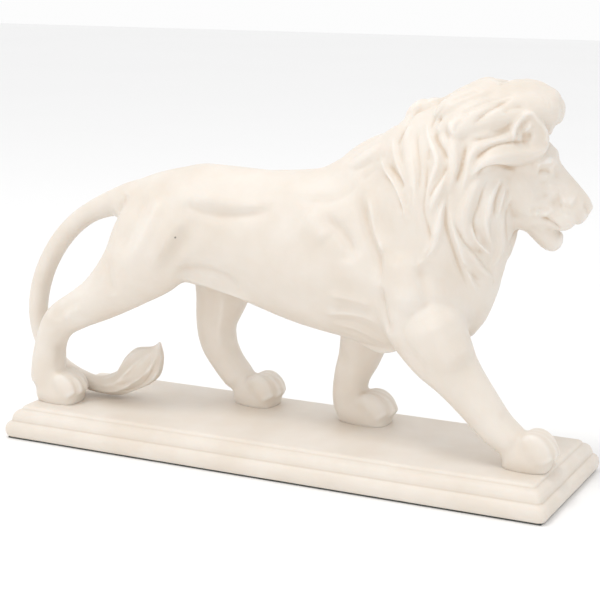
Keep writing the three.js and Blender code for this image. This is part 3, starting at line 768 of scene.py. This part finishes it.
# The furrows and the ridges of the mane, as they are seen in the picture: width and height in
# mm, and the line in its pixels
MANE_MARKS = [
    (1.2, -1.6, [(467, 141), (465, 150), (463, 160), (461, 170), (458, 178), (456, 186)]),
    (1.2, -1.6, [(437, 130), (436, 137), (439, 144), (443, 150), (446, 157), (448, 163)]),
    (1.2, -1.8, [(448, 160), (445, 170), (440, 178), (436, 184), (432, 190), (429, 197), (427, 206)]),
    (1.5, -1.8, [
        (425, 150), (426, 160), (426, 172), (425, 185), (424, 195), (423, 205), (424, 215), (427, 225),
        (429, 235), (428, 243), (425, 252),
    ]),
    (1.3, -1, [(429, 148), (428, 155), (427, 162)]),
    (1.7, -1.9, [(421, 107), (412, 116), (405, 127), (400, 138), (397, 148)]),
    (1.6, -1.4, [(418, 128), (417, 142), (418, 156), (420, 170), (419, 184), (416, 198)]),
    (1.3, -1.2, [(409, 184), (411, 196), (410, 208), (408, 219)]),
    (1.8, -1.8, [(383, 173), (388, 181), (393, 190), (397, 199), (400, 207), (403, 214)]),
    (1.4, -1.6, [(389, 163), (393, 170), (398, 177), (402, 184), (404, 190)]),
    (1.3, -1.8, [
        (449, 188), (447, 200), (446, 212), (446, 225), (449, 238), (453, 250), (457, 262), (461, 272),
        (465, 282), (469, 291),
    ]),
    (1.2, -1.8, [
        (452, 218), (457, 229), (463, 240), (470, 248), (478, 256), (484, 264), (490, 272), (495, 280),
    ]),
    (1.1, -1.2, [(463, 242), (469, 247), (477, 251), (485, 254)]),
    (1.4, -2, [
        (491, 174), (486, 184), (482, 195), (479, 205), (476, 213), (474, 222), (476, 231), (479, 239),
        (484, 245), (488, 251),
    ]),
    (1.5, -2.2, [(476, 178), (481, 172), (489, 168), (500, 167), (510, 169), (517, 171)]),
    (1.1, -1.3, [(505, 180), (501, 187), (498, 194), (496, 202), (495, 212), (495, 220)]),
    (1.4, -1.5, [(509, 190), (508, 205), (507, 220), (508, 235), (509, 248)]),
    (1, -1.2, [(461, 262), (466, 268), (472, 274), (478, 279), (484, 281)]),
    (1, -1, [(472, 276), (477, 283), (482, 288)]),
    (1.2, -1.2, [(432, 232), (431, 243), (427, 253), (421, 262)]),
    (1.3, -1, [(486, 262), (491, 270), (494, 280), (491, 291)]),
    (1.5, -2.4, [(513, 97), (505, 101), (497, 105), (490, 109), (483, 115), (478, 120), (473, 126)]),
    (1.4, -1.2, [
        (520, 92), (510, 94), (500, 98), (488, 101), (478, 105), (468, 110), (460, 116), (455, 123),
    ]),
    (1.2, -1.2, [(484, 90), (474, 92), (465, 95), (456, 99), (450, 104)]),
    (1.8, -1.4, [(526, 106), (516, 107), (509, 109), (502, 113)]),
    (2, -1, [(512, 121), (507, 127), (499, 131), (490, 133)]),
    (1.4, -1.8, [(470, 141), (480, 139), (490, 137), (500, 134), (508, 130)]),
    (1.1, -2.6, [(475, 161), (480, 155), (488, 149), (497, 145), (506, 143), (520, 142), (533, 141)]),
    (0.6, -0.5, [(535, 91), (541, 96), (545, 102), (547, 109)]),
    (0.6, -0.5, [(543, 95), (549, 101), (551, 110)]),
    (1.3, -1.2, [(446, 104), (438, 114), (433, 122), (430, 131)]),
    (1.2, -1.2, [(470, 112), (463, 118), (457, 126), (455, 134)]),
    (1.2, -1.2, [(499, 85), (505, 83), (511, 81)]),
    (1, -1, [(446, 98), (449, 95)]),
]
skin.marked(MANE_MARKS, across_mane, tool=0.8, relief=0.6, fine=math.inf)

# The face and the ear, in the same way: mouth, eye, brow, muzzle, nose and the ear's hollow. They
# are carried across the head's own middle for its left side.
FACE_MARKS = [
    (0.8, -1.5, [(540, 217), (546, 219), (551, 222), (556, 226), (561, 230)]),
    (2, 0.7, [(533, 214), (541, 213), (550, 215)]),
    (1.2, -0.7, [(537, 172.5), (543, 171.5), (549, 172), (553, 174)]),
    (0.9, 0.5, [(539, 175), (544, 175), (549, 177)]),
    (2.4, -0.5, [(538, 170), (545, 170), (552, 171)]),
    (1.6, 1, [(533, 166), (541, 163), (548, 161), (554, 158)]),
    (2.2, -0.35, [(555, 165), (557, 172), (557, 181)]),
    (0.7, -0.5, [(559, 204), (565, 206), (571, 209)]),
    (0.6, -0.4, [(560, 210), (567, 213), (573, 216)]),
    (3, 1, [(560, 201), (567, 200), (575, 204)]),
    (2, 0.5, [(549, 180), (551, 190), (557, 196)]),
    (2, -0.7, [(544, 178), (545, 190), (548, 199)]),
    (1.7, -0.9, [(530, 210), (541, 209.5), (551, 207)]),
    (1.8, -0.45, [(550, 208), (556, 201), (562, 196), (568, 194)]),
    (1.4, -0.5, [(529, 226), (537, 231), (545, 234)]),
    (1, -0.7, [(583, 206), (588, 209), (586, 214)]),
    (1.9, -1.2, [(521, 137), (527, 136), (533, 137)]),
]


def across_face(line):
    """The same line on the other side of the head's own middle."""
    way = np.array([-math.sin(HEAD_TURN), math.cos(HEAD_TURN), 0])
    side = (line - np.array(HEAD_PIVOT)) @ way
    return line - 2 * side[:, None] * way


skin.marked(FACE_MARKS, across_face, fine=1.5)

# The tuft's own strands
TUFT_MARKS = [
    (0.9, -0.9, [(112, 385), (124, 384), (137, 378), (147, 367), (155, 353)]),
    (0.9, -0.9, [(115, 391), (130, 390), (143, 384), (152, 372), (157, 358)]),
    (0.8, -0.7, [(119, 380), (129, 374), (138, 363), (148, 355)]),
    (0.8, -0.6, [(128, 388), (140, 381), (149, 371)]),
]
for width, height, line in TUFT_MARKS:
    skin.stroke(skin.seen(line), width, height, sharp=True)
skin.smoothed(rounds=1)
skin.back()

# How hollow the skin is at every place, in mm, for the painted shade in the hollows and the painted
# highlight on the ridges
sunken = skin.hollows(rounds=16, spread_rounds=2)
lion.data.attributes.new("hollow", "FLOAT", "POINT").data.foreach_set("value", sunken)

# The casting is cut flat where it is fixed to the plinth, and brought to metres. A bubble that the
# clay may hold inside isn't joined to the skin, and goes.
PAWS_SUNK = 0.2
SOLE = PLINTH_TOP - PAWS_SUNK
FACETS = 190_000
body = bmesh.new()
body.from_mesh(lion.data)
top = max(body.verts, key=lambda vert: vert.co.z)
top.tag = True
front = [top]
while front:
    for edge in front.pop().link_edges:
        for vert in edge.verts:
            if not vert.tag:
                vert.tag = True
                front.append(vert)
bmesh.ops.delete(body, geom=[vert for vert in body.verts if not vert.tag], context="VERTS")
geometry = body.verts[:] + body.edges[:] + body.faces[:]
bmesh.ops.bisect_plane(
    body, geom=geometry, plane_co=(0, 0, SOLE), plane_no=(0, 0, -1), clear_outer=True
)
bmesh.ops.holes_fill(body, edges=[e for e in body.edges if e.is_boundary], sides=0)
bmesh.ops.triangulate(body, faces=body.faces[:])
share = min(1, FACETS / len(body.faces))
bmesh.ops.scale(body, vec=(MM, MM, MM), verts=body.verts[:])
body.to_mesh(lion.data)
body.free()
modified(lion, "DECIMATE", ratio=share)
lion.data.shade_smooth()


class Value:
    """A socket's output, for sums and products written as Python expressions."""

    def __init__(self, finish, socket):
        self.finish, self.socket = finish, socket

    def __add__(self, other):
        return self.finish.node("ShaderNodeMath", {"operation": "ADD"}, i0=self, i1=other)

    def __mul__(self, other):
        return self.finish.node("ShaderNodeMath", {"operation": "MULTIPLY"}, i0=self, i1=other)

    __radd__, __rmul__ = __add__, __mul__


class Finish:
    """A material whose nodes are added one call at a time."""

    def __init__(self, name):
        self.material = bpy.data.materials.new(name)
        self.material.use_nodes = True
        self.node_tree = self.material.node_tree
        self.shader = next(n for n in self.node_tree.nodes if n.type == "BSDF_PRINCIPLED")
        self.place = self.node("ShaderNodeTexCoord", out="Object")

    def node(self, kind, settings=(), out=0, **sockets):
        """A node of the kind, with its settings, and the values or links of its sockets."""
        made = self.node_tree.nodes.new(kind)
        for key, value in dict(settings).items():
            if key == "stops":
                for stop, (position, shade) in zip(made.color_ramp.elements, value):
                    stop.position, stop.color = position, (shade, shade, shade, 1)
            else:
                setattr(made, key, value)
        self.fill(made, sockets)
        return Value(self, made.outputs[out])

    def fill(self, made, sockets):
        """Fills sockets by name, or by number as in i0."""
        for key, value in sockets.items():
            numbered = key[0] == "i" and key[1:].isdigit()
            slot = made.inputs[int(key[1:]) if numbered else key.replace("_", " ")]
            if isinstance(value, Value):
                self.node_tree.links.new(value.socket, slot)
            else:
                slot.default_value = value

    def noise(self, scale, detail, roughness=0.5):
        """Noise in the piece's own place. Its parts are 1 / scale metres wide."""
        settings = {"Scale": scale, "Detail": detail, "Roughness": roughness}
        return self.node("ShaderNodeTexNoise", Vector=self.place, **settings)

    def ramp(self, value, *stops):
        """Greys between stops, each a place and a shade."""
        return self.node("ShaderNodeValToRGB", {"stops": stops}, Fac=value)

    def mix(self, share, first, second):
        """Two colours, mixed by the share of the second."""
        settings = {"data_type": "RGBA"}
        return self.node("ShaderNodeMix", settings, out=2, i0=share, i6=first, i7=second)

    def between(self, value, start, full, shape="LINEAR"):
        """0 where the value is at the start, and 1 where it is full."""
        settings = {"interpolation_type": shape}
        return self.node("ShaderNodeMapRange", settings, i0=value, i1=start, i2=full)

    def surface(self, **sockets):
        """Fills the sockets of the material's shader."""
        self.fill(self.shader, sockets)


# The cast's finish: cream alabaster resin, satin, a little see-through
CLOUD_DEEP = (0.715, 0.645, 0.565, 1)
CLOUD_PALE = (0.765, 0.71, 0.645, 1)
# Painted highlight: a paler, less yellow cream on the raised ridges, where light falls
PAINTED_HIGHLIGHT_PALE = (0.80, 0.76, 0.71, 1)
# Painted shade: a brown laid into the skin's hollows and creases, where shade falls
PAINTED_SHADE_BROWN = (0.57, 0.43, 0.3, 1)
SPECK_GREY = (0.2, 0.19, 0.17, 1)
# Where the painted shade in the hollows begins and is full, and the painted highlight on the ridges, in
# mm under the skin's average
PAINTED_SHADE_DEPTHS = (0.02, 0.55)
PAINTED_HIGHLIGHT_DEPTHS = (-0.04, -0.4)
PAINTED_SHADE_SHARE = 0.85
# The speck's middle, and where it ends and is full, in metres
SPECK = (-0.0487, -0.0215, 0.1017)
SPECK_ROUND = (0.0006, 0.0003)

resin = Finish("alabaster_resin")
cloud = resin.ramp(resin.noise(scale=45, detail=4), (0.35, 0), (0.7, 1))
grain = resin.noise(scale=900, detail=2)
hollow = resin.node("ShaderNodeAttribute", {"attribute_name": "hollow"}, out=2)
# Painted shade: 0 on the even skin, 1 in the deep hollows
painted_shade = resin.between(hollow, *PAINTED_SHADE_DEPTHS, "SMOOTHSTEP")
# Painted highlight: 0 on the even skin, 1 on the high ridges
painted_highlight = resin.between(hollow, *PAINTED_HIGHLIGHT_DEPTHS, "SMOOTHSTEP")
cream = resin.mix(cloud, CLOUD_DEEP, CLOUD_PALE)
cream = resin.mix(painted_highlight, cream, PAINTED_HIGHLIGHT_PALE)
# The painted shade's brown, mixed in by its share
cream = resin.mix(PAINTED_SHADE_SHARE * painted_shade, cream, PAINTED_SHADE_BROWN)
away = {"operation": "DISTANCE"}
from_speck = resin.node("ShaderNodeVectorMath", away, out=1, i0=resin.place, i1=SPECK)
cream = resin.mix(resin.between(from_speck, *SPECK_ROUND), cream, SPECK_GREY)
pores = grain + 0.6 * resin.noise(scale=260, detail=3)
resin_skin = resin.node("ShaderNodeBump", Strength=0.18, Distance=0.0002, Height=pores)
resin.surface(
    Base_Color=cream,
    Roughness=0.40 + 0.12 * cloud,
    Normal=resin_skin,
    Subsurface_Weight=0.3,
    Subsurface_Radius=(1.0, 0.75, 0.6),
    Subsurface_Scale=0.0016,
    Specular_IOR_Level=0.35,
)
lion.data.materials.clear()
lion.data.materials.append(resin.material)
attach(lion, "root")
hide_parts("lion")


# The plinth: a second casting of the same resin, a long block with two round mouldings that
# run round its corners.
PLINTH_SIZE = (270, 82)
# The moulding from the foot up: how far in, how high, and the round of its corners
MOULDING = [
    (1.6, 0.7, 2.5), (0.8, 1.1, 2.7), (0.3, 2.1, 2.9), (0.02, 3.4, 3), (0.02, 4.8, 3),
    (0.25, 6, 2.9), (0.75, 7, 2.7), (1.4, 7.7, 2.5), (2.05, 8.05, 2.5), (2.5, 8.3, 2.4),
    (2.6, 8.7, 2.4), (2.6, 9.2, 2.4), (2.7, 9.9, 2.4), (3, 10.9, 2.3), (3.6, 12, 2.2),
    (4.4, 12.8, 2.1), (5.3, 13.25, 2), (6, 13.5, 2), (6.35, 13.8, 2), (6.5, 14.3, 2),
    (6.8, 14.75, 2), (7.4, 15.1, 1.9), (8.4, 15.25, 1.9), (10.4, 15.25, 1.9),
]
# The outline is a unit square first: half its side, its corners' size and their centres
HALF = 0.5
CORNER = 0.1
CORNER_CENTRE = 0.4
CORNER_STEPS = 6
SIDE_STEPS = 30
SPOT_DIGITS = 5

block = bmesh.new()
bmesh.ops.create_grid(block, x_segments=1, y_segments=1, size=HALF)
bmesh.ops.bevel(
    block, geom=block.verts[:], offset=CORNER, offset_type="OFFSET", affect="VERTICES",
    segments=CORNER_STEPS, profile=0.5, material=-1,
)


def outline_place(co):
    """A point's share of the way to the corners' centres, and how it stands round a corner."""
    share = [max(-1, min(1, c / CORNER_CENTRE)) for c in co.xy]
    turn = [c / CORNER - CORNER_CENTRE / CORNER * part for c, part in zip(co.xy, share)]
    size = math.hypot(*turn)
    return share, (turn[0] / size, turn[1] / size)


def ring_laid(verts, inset, height, corner):
    """Lays a ring of the block's outline: round corners, as far in and up as the moulding is."""
    for vert in verts:
        share, turn = place_of[vert]
        vert.co.z = height
        vert.co.xy = [
            part * (side / 2 - inset - corner) + corner * t
            for part, t, side in zip(share, turn, PLINTH_SIZE)
        ]


def spot(vert):
    """Where a point stands, to find the one under it."""
    return tuple(round(c, SPOT_DIGITS) for c in vert.co.xy)


straight = [e for e in block.edges if e.calc_length() > HALF]
bmesh.ops.subdivide_edges(block, edges=straight, cuts=SIDE_STEPS)
place_of = {vert: outline_place(vert.co) for vert in block.verts}
ring_laid(block.verts, *MOULDING[0])
outline = block.edges[:]
for step in MOULDING[1:]:
    below = {spot(vert): place_of[vert] for e in outline for vert in e.verts}
    raised = bmesh.ops.extrude_edge_only(block, edges=outline)["geom"]
    ring = [g for g in raised if isinstance(g, bmesh.types.BMVert)]
    outline = [g for g in raised if isinstance(g, bmesh.types.BMEdge)]
    for vert in ring:
        place_of[vert] = below[spot(vert)]
    ring_laid(ring, *step)
bmesh.ops.holes_fill(block, edges=outline, sides=0)
caps = [f for f in block.faces if len(f.verts) > 4]
bmesh.ops.triangulate(block, faces=caps, ngon_method="BEAUTY")
bmesh.ops.recalc_face_normals(block, faces=block.faces[:])
plinth = cast(block, "plinth_block")
# The moulding's two grooves, for the painted shade in them: height and depth, and how far their painted
# shade reaches
GROOVES = {8.5: 0.3, 13.8: 0.2}
GROOVE_REACH = 0.6
# Painted shade: the grooves' depths, which the finish reads as hollows and darkens
depths = [
    max(depth * max(0, 1 - abs(vert.co.z - z) / GROOVE_REACH) for z, depth in GROOVES.items())
    for vert in plinth.data.vertices
]
plinth.data.attributes.new("hollow", "FLOAT", "POINT").data.foreach_set("value", depths)
plinth.data.transform(Matrix.Scale(MM, 4))
plinth.data.shade_smooth()
plinth.data.materials.append(resin.material)
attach(plinth, "root")
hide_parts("plinth")


# The felt underlay: a die-cut sheet of dark felt, glued under the plinth.
FELT_INSET = 1.8
FELT_THICKNESS = 0.75
FELT_DEEP = (0.035, 0.04, 0.037, 1)
FELT_PALE = (0.09, 0.1, 0.095, 1)
pad = bmesh.new()
bmesh.ops.create_cube(pad, size=1)
felt_size = [side - 2 * FELT_INSET for side in PLINTH_SIZE]
bmesh.ops.scale(pad, vec=(*felt_size, FELT_THICKNESS), verts=pad.verts)
bmesh.ops.translate(pad, vec=(0, 0, FELT_THICKNESS / 2), verts=pad.verts)
bmesh.ops.scale(pad, vec=(MM, MM, MM), verts=pad.verts)
felt_pad = cast(pad, "felt_pad")
wool = Finish("dark_felt")
fibres = wool.noise(scale=1400, detail=4, roughness=0.7)
wool.surface(
    Base_Color=wool.mix(fibres, FELT_DEEP, FELT_PALE),
    Roughness=0.95,
    Normal=wool.node("ShaderNodeBump", Strength=0.6, Distance=0.0003, Height=fibres),
    Sheen_Weight=0.3,
)
felt_pad.data.materials.append(wool.material)
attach(felt_pad, "root")
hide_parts("felt_underlay")


# The studio: a wide pale floor, a white air, two soft boxes and the camera
FLOOR_HALF = 3
PAPER_DEEP = (0.9, 0.9, 0.9, 1)
PAPER_PALE = (0.92, 0.92, 0.92, 1)
AIR_STRENGTH = 0.98
LIT = (0, 0, 0.08)
FILM_WIDTH = 36
sweep = bmesh.new()
bmesh.ops.create_grid(sweep, x_segments=1, y_segments=1, size=FLOOR_HALF)
studio_floor = cast(sweep, "studio_floor")
paper = Finish("pale_paper")
fleck = paper.noise(scale=3, detail=2)
paper.surface(Base_Color=paper.mix(fleck, PAPER_DEEP, PAPER_PALE), Roughness=0.9)
studio_floor.data.materials.append(paper.material)

world = bpy.data.worlds.new("studio_air")
bpy.context.scene.world = world
world.use_nodes = True
air = world.node_tree.nodes["Background"]
air.inputs["Color"].default_value = (1, 1, 1, 1)
air.inputs["Strength"].default_value = AIR_STRENGTH
bpy.context.scene.view_settings.view_transform = "Standard"


def soft_box(name, place, size, power):
    """A round soft light that is turned to the lion."""
    lamp = bpy.data.lights.new(name, "AREA")
    lamp.shape, lamp.size, lamp.energy = "DISK", size, power
    holder = bpy.data.objects.new(name, lamp)
    holder.location = place
    holder.rotation_euler = (Vector(LIT) - Vector(place)).to_track_quat("-Z", "Y").to_euler()
    bpy.context.scene.collection.objects.link(holder)


soft_box("key_light", place=(-0.15, -0.32, 1.2), size=0.35, power=3.7)
soft_box("fill_light", place=(0.1, -1.3, 0.45), size=0.8, power=1.7)

lens = bpy.data.cameras.new("camera")
lens.sensor_width = FILM_WIDTH
lens.lens = FILM_WIDTH * FOCUS_PIXELS / FRAME_PIXELS
camera = bpy.data.objects.new("camera", lens)
camera.location = EYE * MM
camera.rotation_euler = SIGHT.to_track_quat("-Z", "Y").to_euler()
bpy.context.scene.collection.objects.link(camera)
bpy.context.scene.camera = camera
